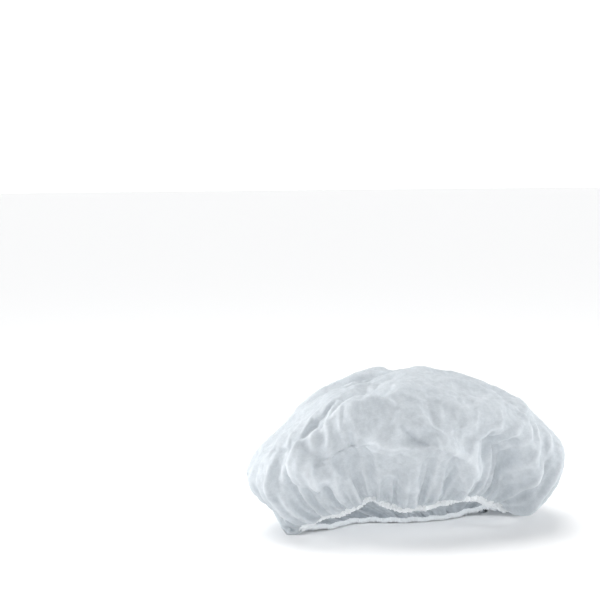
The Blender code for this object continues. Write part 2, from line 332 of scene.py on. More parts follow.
class CapSizes(bpy.types.PropertyGroup):
    """Sizes of the cap, its cloth and its hem"""

    half_length: bpy.props.FloatProperty(
        name="Half length", description="From the middle to an end", default=0.165, unit="LENGTH"
    )
    front: bpy.props.FloatProperty(
        name="Front", description="From the middle to the front", default=0.110, unit="LENGTH"
    )
    back: bpy.props.FloatProperty(
        name="Back", description="From the middle to the back", default=0.134, unit="LENGTH"
    )
    height: bpy.props.FloatProperty(
        name="Height", description="From the floor to the top", default=0.157, unit="LENGTH"
    )
    mouth_half: bpy.props.FloatProperty(
        name="Mouth half length", description="Half the mouth's length", default=0.117,
        unit="LENGTH",
    )
    mouth_front: bpy.props.FloatProperty(
        name="Mouth front", description="How far the mouth reaches forward", default=0.057,
        unit="LENGTH",
    )
    mouth_lift: bpy.props.FloatProperty(
        name="Mouth lift", description="Height of the front hem's top", default=0.042,
        unit="LENGTH",
    )
    fold_height: bpy.props.FloatProperty(
        name="Fold height", description="Relief of a fold", default=0.012, unit="LENGTH"
    )
    fold_width: bpy.props.FloatProperty(
        name="Fold width", description="Half width of a fold", default=0.012, unit="LENGTH"
    )
    gather_height: bpy.props.FloatProperty(
        name="Gather height", description="Relief of the main gathers", default=0.004,
        unit="LENGTH",
    )
    pleat_height: bpy.props.FloatProperty(
        name="Pleat height", description="Relief of the fine pleats at the hem", default=0.0040,
        unit="LENGTH",
    )
    crumple_height: bpy.props.FloatProperty(
        name="Crumple height", description="Relief of the crumpled cloth", default=0.0041,
        unit="LENGTH",
    )
    hem_drop: bpy.props.FloatProperty(
        name="Hem drop", description="Height of the hem below the crown", default=0.0044,
        unit="LENGTH",
    )
    hem_wide: bpy.props.FloatProperty(
        name="Hem width", description="Thickness of the hem round its elastic", default=0.0065,
        unit="LENGTH",
    )
    sheet_across: bpy.props.FloatProperty(
        name="Sheet diameter", description="The round sheet the cap is cut from", default=0.610,
        unit="LENGTH",
    )


class CapColours(bpy.types.PropertyGroup):
    """Colours and finish of the cap"""

    # The thin cloth's colour is also the painted shade in hollows and creases of the relief
    cloth: bpy.props.FloatVectorProperty(
        name="Cloth", description="Thin nonwoven cloth", subtype="COLOR", size=4, min=0, max=1,
        default=(0.35, 0.39, 0.42, 1.0),
    )
    # The dense cloth's colour is where fibres lie thick, and also the painted highlight on crests of
    # the relief
    cloth_thick_and_crest_lit: bpy.props.FloatVectorProperty(
        name="Dense cloth", description="Where fibres lie thick", subtype="COLOR", size=4,
        min=0, max=1, default=(0.77, 0.80, 0.825, 1.0),
    )
    hem: bpy.props.FloatVectorProperty(
        name="Hem", description="Cloth bunched up in the hem", subtype="COLOR", size=4, min=0,
        max=1, default=(0.95, 0.98, 1.0, 1.0),
    )
    elastic: bpy.props.FloatVectorProperty(
        name="Elastic", description="The rubber strand", subtype="COLOR", size=4, min=0, max=1,
        default=(0.86, 0.84, 0.78, 1.0),
    )


class CapStage(bpy.types.PropertyGroup):
    """The view, the floor and the lights"""

    azimuth: bpy.props.FloatProperty(
        name="Azimuth", description="Turn of the camera round the cap", default=math.radians(-20),
        subtype="ANGLE",
    )
    elevation: bpy.props.FloatProperty(
        name="Elevation", description="Camera above the horizon", default=math.radians(11),
        subtype="ANGLE",
    )
    lens: bpy.props.FloatProperty(
        name="Lens", description="Focal length in millimetres", default=85.0
    )
    pixel: bpy.props.FloatProperty(
        name="Pixel", description="What one pixel covers at the cap", default=0.00103,
        unit="LENGTH",
    )
    floor: bpy.props.FloatVectorProperty(
        name="Floor", description="Plain pale floor", subtype="COLOR", size=4, min=0, max=1,
        default=(0.90, 0.90, 0.903, 1.0),
    )


def smooth_step(value, low, high):
    """0 up to low, 1 from high on, and smooth between them."""
    share = np.clip((value - low) / (high - low), 0.0, 1.0)
    return share * share * (3.0 - 2.0 * share)


def curve_through(points, closed):
    """Points of a Catmull-Rom curve through rows of points, SPLINE_STEPS to each span."""
    points = np.asarray(points)
    count = len(points)
    spans = count if closed else count - 1
    rows = []
    for span in range(spans):
        if closed:
            near = [points[(span + step) % count] for step in (-1, 0, 1, 2)]
        else:
            near = [points[min(max(span + step, 0), count - 1)] for step in (-1, 0, 1, 2)]
        before, start, end, after = near
        for step in range(SPLINE_STEPS):
            share = step / SPLINE_STEPS
            rows.append(
                start
                + 0.5 * share * (end - before)
                + share**2 * (before - 2.5 * start + 2.0 * end - 0.5 * after)
                + share**3 * (1.5 * (start - end) + 0.5 * (after - before))
            )
    rows.append(points[0] if closed else points[-1])
    return np.array(rows)


def evenly_spaced(line, count):
    """Points at equal distances along a line, its last point included."""
    lengths = np.linalg.norm(np.diff(line, axis=0), axis=1)
    along = np.concatenate([[0.0], np.cumsum(lengths)])
    marks = np.linspace(0.0, along[-1], count + 1)
    return np.stack([np.interp(marks, along, column) for column in line.T], axis=1)


class CrownForm:
    """The cap's smooth form as a grid of meridians by rings, and its relief."""

    def __init__(self, sizes, meridians, rings):
        self.sizes = sizes
        self.meridians = meridians
        self.rings = rings
        self.turns = self.meridian_turns()
        self.rim = self.rim_line()
        self.smooth = self.smooth_crown()
        self.level = np.linspace(1.0, 0.0, rings + 1)[None, :]

    def rim_line(self):
        """The rim's points, half of them at the back and half at the front."""
        size = self.sizes
        scale = np.array([size.mouth_half, size.mouth_front, size.mouth_lift])
        line = curve_through(np.array(RIM_BACK + RIM_FRONT) * scale, True)
        left_end = len(RIM_BACK) * SPLINE_STEPS
        half = self.meridians // 2
        back = evenly_spaced(line[: left_end + 1], half)[:-1]
        front = evenly_spaced(line[left_end:], half)[:-1]
        return np.concatenate([back, front])

    def meridian_turns(self):
        """The meridians' turns, at equal distances round the widest line of each half."""
        turns = []
        size = self.sizes
        for side, depth in ((0, size.back), (1, size.front)):
            turn = np.linspace(side * math.pi, (side + 1) * math.pi, 1441)
            line = np.stack([size.half_length * np.cos(turn), depth * np.sin(turn)], axis=1)
            step = np.linalg.norm(np.diff(line, axis=0), axis=1)
            along = np.concatenate([[0.0], np.cumsum(step)])
            marks = np.linspace(0.0, along[-1], self.meridians // 2 + 1)[:-1]
            turns.append(np.interp(marks, along, turn))
        return np.concatenate(turns)

    def blend_round(self, section):
        """A section's shares out and up at each meridian, blended from the ends to the sides."""
        side = smooth_step(np.abs(np.sin(self.turns)), 0.30, 0.95)
        front = np.sin(self.turns) < 0.0
        side_out = np.where(front, section.front_out, section.back_out)
        side_rise = np.where(front, section.front_rise, section.back_rise)
        out = section.end_out * (1.0 - side) + side_out * side
        rise = section.end_rise * (1.0 - side) + side_rise * side
        return out, rise, side_out

    def dome_section(self, section):
        _, rise, side_out = self.blend_round(section)
        depth = np.where(np.sin(self.turns) < 0.0, self.sizes.front, self.sizes.back)
        along = self.sizes.half_length * section.end_out * np.cos(self.turns)
        across = depth * side_out * np.sin(self.turns)
        return np.stack([along, across, self.sizes.height * rise], axis=1)

    def smooth_crown(self):
        """The smooth surface, each meridian's points from the top down to the rim."""
        dome = [self.dome_section(section) for section in DOME]
        widest = dome[0]
        rows = [self.rim]
        for section in UNDERSIDE:
            out, rise, _ = self.blend_round(section)
            rows.append(self.rim + (widest - self.rim) * np.stack([out, out, rise], axis=1))
        rows += dome
        rows.append(np.tile([0.0, 0.0, self.sizes.height], (self.meridians, 1)))
        rows = np.array(rows[::-1])
        return np.array(
            [evenly_spaced(curve_through(rows[:, i], False), self.rings)
             for i in range(self.meridians)]
        )

    def normals(self, grid):
        around = np.roll(grid, -1, axis=0) - np.roll(grid, 1, axis=0)
        down = np.gradient(grid, axis=1)
        normals = np.cross(down, around)
        normals[:, 0] = (0.0, 0.0, 1.0)
        return normals / np.linalg.norm(normals, axis=2, keepdims=True)

    def spot(self, turn, level):
        marks = np.append(np.degrees(self.turns), 360.0)
        place = np.interp(turn % 360.0, marks, np.arange(self.meridians + 1))
        ring = (1.0 - level) * self.rings
        near, far = int(place), int(ring)
        share, part = place - near, ring - far
        ahead, below = (near + 1) % self.meridians, min(far + 1, self.rings)
        near %= self.meridians
        grid = self.smooth
        upper = grid[near, far] * (1.0 - share) + grid[ahead, far] * share
        lower = grid[near, below] * (1.0 - share) + grid[ahead, below] * share
        return upper * (1.0 - part) + lower * part

    def distance_to_fold(self, path):
        """How far each point of the smooth crown is from a fold's path."""
        spots = [
            self.spot(
                start[0] + (end[0] - start[0]) * share, start[1] + (end[1] - start[1]) * share
            )
            for start, end in zip(path[:-1], path[1:])
            for share in np.linspace(0.0, 1.0, PATH_STEPS)
        ]
        nearest = np.full(self.smooth.shape[:2], np.inf)
        for start, end in zip(spots[:-1], spots[1:]):
            run = end - start
            length = max(run @ run, 1e-12)
            share = np.clip((self.smooth - start) @ run / length, 0.0, 1.0)
            gap = np.linalg.norm(self.smooth - start - share[..., None] * run, axis=2)
            nearest = np.minimum(nearest, gap)
        return nearest

    def folds(self, table, sharpness):
        relief = np.zeros(self.smooth.shape[:2])
        for fold in table:
            gap = self.distance_to_fold(fold.path) / (self.sizes.fold_width * fold.width)
            relief += self.sizes.fold_height * fold.height * np.exp(-(gap**sharpness))
        return relief

    def main_gathers(self):
        share = np.arange(self.meridians)[:, None] / self.meridians
        change = np.sin(GATHERS_CHANGE * MAIN_GATHERS * share)
        uneven = 1.0 - GATHERS_UNEVEN + GATHERS_UNEVEN * change
        wave = np.sin(2.0 * math.pi * share * MAIN_GATHERS + GATHERS_START)
        rise = 0.3 + 0.7 * smooth_step(self.level, 0.0, 0.08)
        fade = rise * (1.0 - smooth_step(self.level, 0.12, 0.42))
        return self.sizes.gather_height * uneven * wave * fade

    def fine_pleats(self):
        """Narrow pleats that start at the hem, and run together on the way up."""
        share = np.arange(self.meridians)[:, None] / self.meridians
        relief = np.zeros(self.smooth.shape[:2])
        for count, reach, height, seed in PLEAT_BANDS:
            wander = PLEAT_WANDER * np.sin(WANDER_UP * self.level + seed + WANDER_ROUND * share)
            phase = share * count + wander * self.level
            wave, chance = pleat_wave(phase, seed)
            top = reach * (0.45 + 1.1 * chance)
            fade = 1.0 - smooth_step(self.level / top, 0.15, 1.0)
            relief += self.sizes.pleat_height * height * wave * fade
        held = PLEATS_AT_RIM + (1.0 - PLEATS_AT_RIM) * smooth_step(self.level, 0.0, 0.07)
        behind = 1.0 + PLEATS_BEHIND * smooth_step(np.sin(self.turns), -0.75, 0.1)[:, None]
        return relief * held * behind

    def crumple(self):
        """Puffs and creases of crushed cloth, drawn out up the walls and calmer over the top."""
        relief = np.zeros(self.smooth.shape[:2])
        noise.seed_set(NOISE_SEED)
        for scale, height, stretch, seed in CRUMPLES:
            points = self.smooth / scale * (1.0, 1.0, 1.0 / stretch) + (seed, 2.3 * seed, -seed)
            layer = [crease_noise(Vector(point)) for point in points.reshape(-1, 3)]
            layer = np.array(layer).reshape(relief.shape)
            relief += height * (layer - layer.mean())
        calm = 1.0 - 0.5 * smooth_step(self.level, 0.45, 0.8)
        return self.sizes.crumple_height * relief * calm * smooth_step(self.level, 0.0, 0.06)


def crease_noise(point):
    """Rounded puffs, 0 to 1, between creases that wander."""
    wander = noise.noise_vector(0.6 * point)
    return 2.0 * abs(noise.noise(point + 0.7 * wander))


def pleat_wave(phase, seed):
    """A wave with narrow crests, and each pleat's own chance, 0 to 1."""
    index = np.floor(phase)
    local = phase - index
    chance = 0.5 + 0.5 * np.sin(index * 12.9898 + seed * 78.233)
    crest = np.exp(-(((local - 0.5) / CREST_WIDTH) ** 2)) - np.exp(-((0.5 / CREST_WIDTH) ** 2))
    return (0.6 + 0.6 * chance) * (crest - CREST_LEVEL), chance


def smooth_surface(form):
    """The crown's outer face with its main folds, centred over Z."""
    relief = form.folds(MAIN_FOLDS, ROUND_FOLD) + form.main_gathers()
    cloth = form.smooth + form.normals(form.smooth) * relief[..., None]
    middle = 0.5 * (cloth.min(axis=(0, 1)) + cloth.max(axis=(0, 1)))
    cloth[..., :2] -= middle[:2]
    return cloth


def cap_surface(sizes, meridians, rings):
    """The crown's outer face with all its relief, and a painted-light mask from that relief, 0 to 1:
    whiter on crests, greyer in hollows.
    """
    form = CrownForm(sizes, meridians, rings)
    cloth = finer_grid(crumpled_surface(sizes), meridians, rings)
    fine = form.folds(FINE_FOLDS, SHARP_FOLD) + form.fine_pleats()
    crumple = form.crumple()
    calm = cloth.copy()
    for _ in range(NORMAL_SOFTENINGS):
        calm[:, 1:-1] = neighbours(calm)[:, 1:-1]
    cloth += form.normals(calm) * (FINE_SHARE * fine + crumple)[..., None]
    cloth[:, 0] = cloth[:, 0].mean(axis=0)
    cloth[..., 2] = np.clip(cloth[..., 2], CAD_BOX[0].z, None)
    # Painted shade and highlight: the relief sets the cloth's colour, greyer and thinner in hollows
    # and creases, whiter and denser on crests
    crest_light_hollow_shade = np.clip(0.5 + (fine + crumple) / (2.0 * PAINTED_LIGHT_RELIEF), 0.0, 1.0)
    return cloth, crest_light_hollow_shade


def crumpled_surface(sizes):
    """The crown after its cloth, wider than its place, has been let buckle into soft folds."""
    form = CrownForm(sizes, SIM_MERIDIANS, SIM_RINGS)
    start = smooth_surface(form)
    fine = form.folds(FINE_FOLDS, SHARP_FOLD) + form.fine_pleats()
    fine += SEED_CRUMPLE * form.crumple()
    start += form.normals(start) * (SEED_SHARE * fine)[..., None]
    start[:, 0] = start[:, 0].mean(axis=0)
    buckled = buckle(start, form.level)
    drift = smoothed_drift(start, buckled - start)
    cloth = buckled - drift * smooth_step(form.level, 0.0, HEM_REACH)[..., None]
    for _ in range(SOFTENINGS):
        cloth[:, 1:-1] += 0.5 * (neighbours(cloth) - cloth)[:, 1:-1]
    for ring in range(POLE_RINGS):
        share = ring / POLE_RINGS
        edge = cloth[:, POLE_RINGS]
        cloth[:, ring] = edge.mean(axis=0) * (1.0 - share) + edge * share
    return cloth


def buckle(start, level):
    """Runs the cloth simulation on a grid of meridians by rings, and gives the grid it ends as."""
    meridians, rings = start.shape[0], start.shape[1] - 1
    points = np.concatenate([start[:1, 0], start[:, 1:].transpose(1, 0, 2).reshape(-1, 3)])
    faces = [(0, 1 + here, 1 + (here + 1) % meridians) for here in range(meridians)]
    for ring in range(rings - 1):
        for here in range(meridians):
            near = 1 + ring * meridians + here
            far = 1 + ring * meridians + (here + 1) % meridians
            faces.append((near, near + meridians, far + meridians, far))
    mesh = bpy.data.meshes.new("sheet")
    mesh.from_pydata(np.round(points * SIM_SCALE, SIM_DIGITS).tolist(), [], faces)
    sheet = bpy.data.objects.new("sheet", mesh)
    bpy.context.scene.collection.objects.link(sheet)
    height = np.concatenate([[1.0], np.repeat(level[0, 1:], meridians)])
    pins = sheet.vertex_groups.new(name="pins")
    held = height < 1.5 / rings
    pins.add([int(index) for index in np.nonzero(held)[0]], 1.0, "REPLACE")
    pins.add([int(index) for index in np.nonzero(~held)[0]], LOOSE_PIN, "REPLACE")
    modifier = sheet.modifiers.new("cloth", "CLOTH")
    cloth = modifier.settings
    cloth.quality = 5
    cloth.tension_stiffness = cloth.compression_stiffness = SIM_STRETCHING
    cloth.shear_stiffness = SIM_SHEAR
    cloth.bending_stiffness = SIM_BENDING
    cloth.vertex_group_mass = "pins"
    cloth.shrink_min = -SIM_GROWTH
    cloth.effector_weights.gravity = 0.0
    modifier.collision_settings.use_collision = False
    modifier.point_cache.frame_start = 1
    modifier.point_cache.frame_end = SIM_FRAMES
    for frame_number in range(1, SIM_FRAMES + 1):
        bpy.context.scene.frame_set(frame_number)
    deselect_all()
    sheet.select_set(True)
    bpy.context.view_layer.objects.active = sheet
    bpy.ops.object.modifier_apply(modifier=modifier.name)
    ended = mesh_points(sheet.data) / SIM_SCALE
    bpy.data.objects.remove(sheet)
    grid = np.empty_like(start)
    grid[:, 0] = ended[0]
    grid[:, 1:] = ended[1:].reshape(rings, meridians, 3).transpose(1, 0, 2)
    return grid


def smoothed_drift(start, moved):
    """The broad part of how the cloth moved, which would change the cap's outline."""
    places, moves = start.reshape(-1, 3), moved.reshape(-1, 3)
    samples = slice(0, None, DRIFT_STEP)
    near, far = places[samples], moves[samples]
    drift = np.empty_like(places)
    for begin in range(0, len(places), DRIFT_BLOCK):
        block = places[begin : begin + DRIFT_BLOCK]
        gaps = ((block[:, None] - near[None]) ** 2).sum(axis=2)
        weights = np.exp(-gaps / (2.0 * DRIFT_REACH**2))
        drift[begin : begin + DRIFT_BLOCK] = weights @ far / weights.sum(axis=1, keepdims=True)
    return drift.reshape(start.shape)


def neighbours(grid):
    """The mean of each point's four neighbours, for all but the first and the last ring."""
    mean = np.roll(grid, 1, axis=0) + np.roll(grid, -1, axis=0)
    mean[:, 1:-1] += grid[:, :-2] + grid[:, 2:]
    return 0.25 * mean


def finer_grid(grid, meridians, rings):
    """The same surface with more meridians and rings, by cubic curves."""
    marks = np.arange(meridians) * len(grid) / meridians
    wide = cubic(np.concatenate([grid[-1:], grid, grid[:2]]), marks + 1.0)
    marks = np.arange(rings + 1) * (grid.shape[1] - 1) / rings
    tall = wide.transpose(1, 0, 2)
    tall = np.concatenate([2.0 * tall[:1] - tall[1:2], tall, 2.0 * tall[-1:] - tall[-2:-1]])
    return cubic(tall, marks + 1.0).transpose(1, 0, 2)


def cubic(rows, marks):
    """Rows between rows, on Catmull-Rom curves through them."""
    near = np.clip(np.floor(marks).astype(int), 1, len(rows) - 3)
    share = (marks - near)[:, None, None]
    before, start, end, after = (rows[near + step] for step in (-1, 0, 1, 2))
    return (
        start
        + 0.5 * share * (end - before)
        + share**2 * (before - 2.5 * start + 2.0 * end - 0.5 * after)
        + share**3 * (1.5 * (start - end) + 0.5 * (after - before))
    )


def mesh_points(mesh):
    """The places of a mesh's points, a row for each."""
    places = np.zeros(len(mesh.vertices) * 3)
    mesh.vertices.foreach_get("co", places)
    return places.reshape(-1, 3)


def deselect_all():
    for piece in bpy.context.selected_objects:
        piece.select_set(False)


def apply_place(piece):
    """Puts a piece's place, turn and size into its mesh."""
    deselect_all()
    piece.select_set(True)
    bpy.context.view_layer.objects.active = piece
    bpy.ops.object.transform_apply(location=True, rotation=True, scale=True)


def new_socket(group, name, way, default=None):
    """A number that goes into or comes out of a node group."""
    socket = group.interface.new_socket(name=name, in_out=way, socket_type="NodeSocketFloat")
    if default is not None:
        socket.default_value = default
    return socket


def fibre_group():
    """A node group for spunbond cloth: clouds of fibres, single fibres and bond points."""
    known = bpy.data.node_groups.get("Spunbond fibres")
    if known:
        return known
    group = bpy.data.node_groups.new("Spunbond fibres", "ShaderNodeTree")
    new_socket(group, "Cloud size", "INPUT", 0.006)
    new_socket(group, "Fibre size", "INPUT", 0.0006)
    new_socket(group, "Bond pitch", "INPUT", 0.0022)
    new_socket(group, "Density", "OUTPUT")
    new_socket(group, "Height", "OUTPUT")
    nodes, links = group.nodes, group.links
    enter = nodes.new("NodeGroupInput")
    leave = nodes.new("NodeGroupOutput")
    place = nodes.new("ShaderNodeTexCoord")

    def scaled(size_socket, stretch):
        inverse = nodes.new("ShaderNodeMath")
        inverse.operation = "DIVIDE"
        inverse.inputs[0].default_value = 1.0
        links.new(size_socket, inverse.inputs[1])
        turn = nodes.new("ShaderNodeMapping")
        turn.inputs["Scale"].default_value = stretch
        turn.inputs["Rotation"].default_value = (0.5, 0.7, 0.4)
        links.new(place.outputs["Object"], turn.inputs["Vector"])
        return inverse, turn

    def cloud(size_socket, stretch, detail):
        inverse, turn = scaled(size_socket, stretch)
        texture = nodes.new("ShaderNodeTexNoise")
        texture.inputs["Detail"].default_value = detail
        texture.inputs["Roughness"].default_value = 0.6
        links.new(inverse.outputs[0], texture.inputs["Scale"])
        links.new(turn.outputs["Vector"], texture.inputs["Vector"])
        return texture.outputs["Fac"]

    clouds = cloud(enter.outputs["Cloud size"], (1.0, 1.0, 1.0), 3.0)
    long_fibres = cloud(enter.outputs["Fibre size"], (1.0, 0.12, 1.0), 1.0)
    cross_fibres = cloud(enter.outputs["Fibre size"], (0.12, 1.0, 0.4), 1.0)
    inverse, turn = scaled(enter.outputs["Bond pitch"], (1.0, 1.0, 1.0))
    bonds = nodes.new("ShaderNodeTexVoronoi")
    bonds.inputs["Randomness"].default_value = 0.25
    links.new(inverse.outputs[0], bonds.inputs["Scale"])
    links.new(turn.outputs["Vector"], bonds.inputs["Vector"])
    dot = map_range(nodes, links, bonds.outputs["Distance"], (0.12, 0.30), (0.0, 1.0))

    def combine(operation, first, second):
        step = nodes.new("ShaderNodeMath")
        step.operation = operation
        for socket, value in zip(step.inputs, (first, second)):
            if isinstance(value, float):
                socket.default_value = value
            else:
                links.new(value, socket)
        return step.outputs[0]

    fibres = combine("MAXIMUM", long_fibres, cross_fibres)
    mixed = combine("ADD", combine("MULTIPLY", clouds, 0.6), combine("MULTIPLY", fibres, 0.4))
    density = map_range(nodes, links, mixed, (0.38, 0.68), (0.0, 1.0))
    links.new(density, leave.inputs["Density"])
    raised = combine("ADD", fibres, combine("MULTIPLY", dot, 0.5))
    links.new(raised, leave.inputs["Height"])
    return group


def new_material(name):
    """A material, its nodes and links, and its main shader."""
    material = bpy.data.materials.new(name)
    material.use_nodes = True
    tree = material.node_tree
    return material, tree.nodes, tree.links, tree.nodes["Principled BSDF"]


def map_range(nodes, links, value, source, target):
    """A value mapped from one range to another."""
    node = nodes.new("ShaderNodeMapRange")
    for name, bound in zip(("From Min", "From Max", "To Min", "To Max"), source + target):
        node.inputs[name].default_value = bound
    links.new(value, node.inputs["Value"])
    return node.outputs["Result"]


def add_bump(nodes, links, fibres, strength):
    """The normal of a face that the fibres make rough."""
    bump = nodes.new("ShaderNodeBump")
    bump.inputs["Strength"].default_value = strength
    bump.inputs["Distance"].default_value = 0.0004
    links.new(fibres.outputs["Height"], bump.inputs["Height"])
    return bump.outputs["Normal"]


def add_fibres(nodes, cloud_size):
    fibres = nodes.new("ShaderNodeGroup")
    fibres.node_tree = fibre_group()
    fibres.inputs["Cloud size"].default_value = cloud_size
    return fibres


def blend_colours(nodes, links, mask, thin, thick):
    """The colour between two, by a mask."""
    blend = nodes.new("ShaderNodeMix")
    blend.data_type = "RGBA"
    blend.inputs["A"].default_value = thin
    blend.inputs["B"].default_value = thick
    links.new(mask, blend.inputs["Factor"])
    return blend.outputs["Result"]


def cloth_material(colours):
    """Thin nonwoven cloth that lets light through, more so where fibres lie thin and in hollows of
    the relief, which get painted shade while crests get painted highlight.
    """
    material, nodes, links, shader = new_material("nonwoven_cloth")
    fibres = add_fibres(nodes, 0.006)
    # The "bunched" attribute is painted light from the relief: whiter, denser cloth on crests and
    # greyer, thinner cloth in hollows, as painted highlight and painted shade
    bunched = nodes.new("ShaderNodeAttribute")
    bunched.attribute_name = "bunched"
    # The colour mask is 0.65 of this painted light and the rest random fibre density
    layers = nodes.new("ShaderNodeMix")
    layers.inputs["Factor"].default_value = 0.65
    links.new(fibres.outputs["Density"], layers.inputs["A"])
    links.new(bunched.outputs["Fac"], layers.inputs["B"])
    density = layers.outputs["Result"]
    colour = blend_colours(nodes, links, density, colours.cloth, colours.cloth_thick_and_crest_lit)
    links.new(colour, shader.inputs["Base Color"])
    shader.inputs["Roughness"].default_value = 0.72
    shader.inputs["Specular IOR Level"].default_value = 0.3
    shader.inputs["Sheen Weight"].default_value = 0.12
    shader.inputs["Sheen Roughness"].default_value = 0.5
    normal = add_bump(nodes, links, fibres, 0.35)
    links.new(normal, shader.inputs["Normal"])
    through = nodes.new("ShaderNodeBsdfTranslucent")
    through.inputs["Color"].default_value = (0.80, 0.83, 0.86, 1.0)
    links.new(normal, through.inputs["Normal"])
    body = nodes.new("ShaderNodeMixShader")
    body.inputs["Fac"].default_value = 0.35
    links.new(shader.outputs["BSDF"], body.inputs[1])
    links.new(through.outputs["BSDF"], body.inputs[2])
    # Through the same mask the painted shade also makes hollows more see-through
    cover = map_range(nodes, links, density, (0.0, 1.0), (0.78, 0.98))
    clear = nodes.new("ShaderNodeBsdfTransparent")
    mix = nodes.new("ShaderNodeMixShader")
    links.new(cover, mix.inputs["Fac"])
    links.new(clear.outputs["BSDF"], mix.inputs[1])
    links.new(body.outputs["Shader"], mix.inputs[2])
    links.new(mix.outputs["Shader"], nodes["Material Output"].inputs["Surface"])
    return material


def hem_material(colours):
    """Cloth bunched in many layers, whiter and denser than the crown."""
    material, nodes, links, shader = new_material("hem_cloth")
    fibres = add_fibres(nodes, 0.002)
    thin = [0.90 * channel for channel in colours.hem[:3]] + [1.0]
    colour = blend_colours(nodes, links, fibres.outputs["Density"], thin, colours.hem)
    links.new(colour, shader.inputs["Base Color"])
    shader.inputs["Roughness"].default_value = 0.65
    shader.inputs["Sheen Weight"].default_value = 0.7
    shader.inputs["Sheen Roughness"].default_value = 0.5
    links.new(add_bump(nodes, links, fibres, 0.4), shader.inputs["Normal"])
    return material


def elastic_material(colours):
    """A dull rubber strand, with faint lines along it."""
    material, nodes, links, shader = new_material("elastic")
    fibres = add_fibres(nodes, 0.001)
    dull = [0.85 * channel for channel in colours.elastic[:3]] + [1.0]
    colour = blend_colours(nodes, links, fibres.outputs["Density"], dull, colours.elastic)
    links.new(colour, shader.inputs["Base Color"])
    shader.inputs["Roughness"].default_value = 0.55
    return material


class CAP_OT_crown(bpy.types.Operator):
    """Models the gathered, crumpled sheet of the crown"""

    bl_idname = "cap.crown"
    bl_label = "Crown"

    meridians: bpy.props.IntProperty(name="Meridians", default=540)
    rings: bpy.props.IntProperty(name="Rings", default=170)

    def execute(self, context):
        surface, crest_light_hollow_shade = cap_surface(context.scene.cap_sizes, self.meridians, self.rings)
        deselect_all()
        bpy.ops.mesh.primitive_uv_sphere_add(
            segments=self.meridians, ring_count=self.rings + 1, radius=1.0
        )
        crown = context.object
        crown.name = crown.data.name = "crown_cloth"
        mesh = crown.data
        ball = mesh_points(mesh)
        polar = np.arccos(np.clip(ball[:, 2], -1.0, 1.0)) / math.pi
        ring = np.rint(polar * (self.rings + 1)).astype(int)
        turn = np.arctan2(ball[:, 1], ball[:, 0]) / (2.0 * math.pi)
        meridian = np.rint(turn * self.meridians).astype(int) % self.meridians
        below = ring > self.rings
        ring = np.minimum(ring, self.rings)
        mesh.vertices.foreach_set("co", surface[meridian, ring].ravel())
        # Stores the painted light mask on the points: whiter on crests, greyer in hollows
        bunched = mesh.attributes.new("bunched", "FLOAT", "POINT")
        bunched.data.foreach_set("value", crest_light_hollow_shade[meridian, ring])
        bpy.ops.object.mode_set(mode="EDIT")
        bpy.ops.mesh.select_mode(type="VERT")
        bpy.ops.mesh.select_all(action="DESELECT")
        bpy.ops.object.mode_set(mode="OBJECT")
        mesh.vertices.foreach_set("select", below)
        bpy.ops.object.mode_set(mode="EDIT")
        bpy.ops.mesh.delete(type="VERT")
        bpy.ops.object.mode_set(mode="OBJECT")
        bpy.ops.object.shade_smooth()
        mesh.materials.append(cloth_material(context.scene.cap_colours))
        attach(crown, "root")
        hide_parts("crown")
        return {"FINISHED"}


class CAP_OT_hem(bpy.types.Operator):
    """Models the ruched hem that is folded round the elastic"""

    bl_idname = "cap.hem"
    bl_label = "Hem"

    steps: bpy.props.IntProperty(name="Steps round the rim", default=1440)
    sides: bpy.props.IntProperty(name="Points round the section", default=16)

    def execute(self, context):
        sizes = context.scene.cap_sizes
        frames = rim_frames(sizes, self.steps)
        deselect_all()
        bpy.ops.mesh.primitive_grid_add(
            x_subdivisions=self.steps, y_subdivisions=self.sides, size=1.0
        )
        hem = context.object
        hem.name = hem.data.name = "hem_ruche"
        mesh = hem.data
        flat = mesh_points(mesh) + 0.5
        place = np.rint(flat[:, 0] * self.steps).astype(int) % self.steps
        side = np.rint(flat[:, 1] * self.sides) % self.sides * 2.0 * math.pi / self.sides
        mesh.vertices.foreach_set("co", hem_points(sizes, frames, place, side).ravel())
        bpy.ops.object.mode_set(mode="EDIT")
        bpy.ops.mesh.select_all(action="SELECT")
        bpy.ops.mesh.remove_doubles(threshold=1e-6)
        bpy.ops.mesh.normals_make_consistent(inside=False)
        bpy.ops.object.mode_set(mode="OBJECT")
        bpy.ops.object.shade_smooth()
        mesh.materials.append(hem_material(context.scene.cap_colours))
        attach(hem, "root")
        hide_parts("hem")
        return {"FINISHED"}


def rim_frames(sizes, steps):
    """Points of the rim, the way up the wall and the way out of it, all round."""
    surface = smooth_surface(CrownForm(sizes, 4 * MAIN_GATHERS, 20))
    rim = surface[:, -1]
    up = surface[:, -2] - rim
    up /= np.linalg.norm(up, axis=1, keepdims=True)
    lift = rim[:, 2] / sizes.mouth_lift
    up[:, 2] += HEM_UPRIGHT * smooth_step(lift, UPRIGHT_FROM, UPRIGHT_TO)
    along = np.roll(rim, -1, axis=0) - np.roll(rim, 1, axis=0)
    out = np.cross(along, up)
    up = np.cross(out, along)
    out /= np.linalg.norm(out, axis=1, keepdims=True)
    up /= np.linalg.norm(up, axis=1, keepdims=True)
    marks = np.arange(steps) * len(rim) / steps
    near = np.floor(marks).astype(int)
    share = (marks - near)[:, None]
    ahead = (near + 1) % len(rim)
    return [part[near] * (1.0 - share) + part[ahead] * share for part in (rim, up, out)]


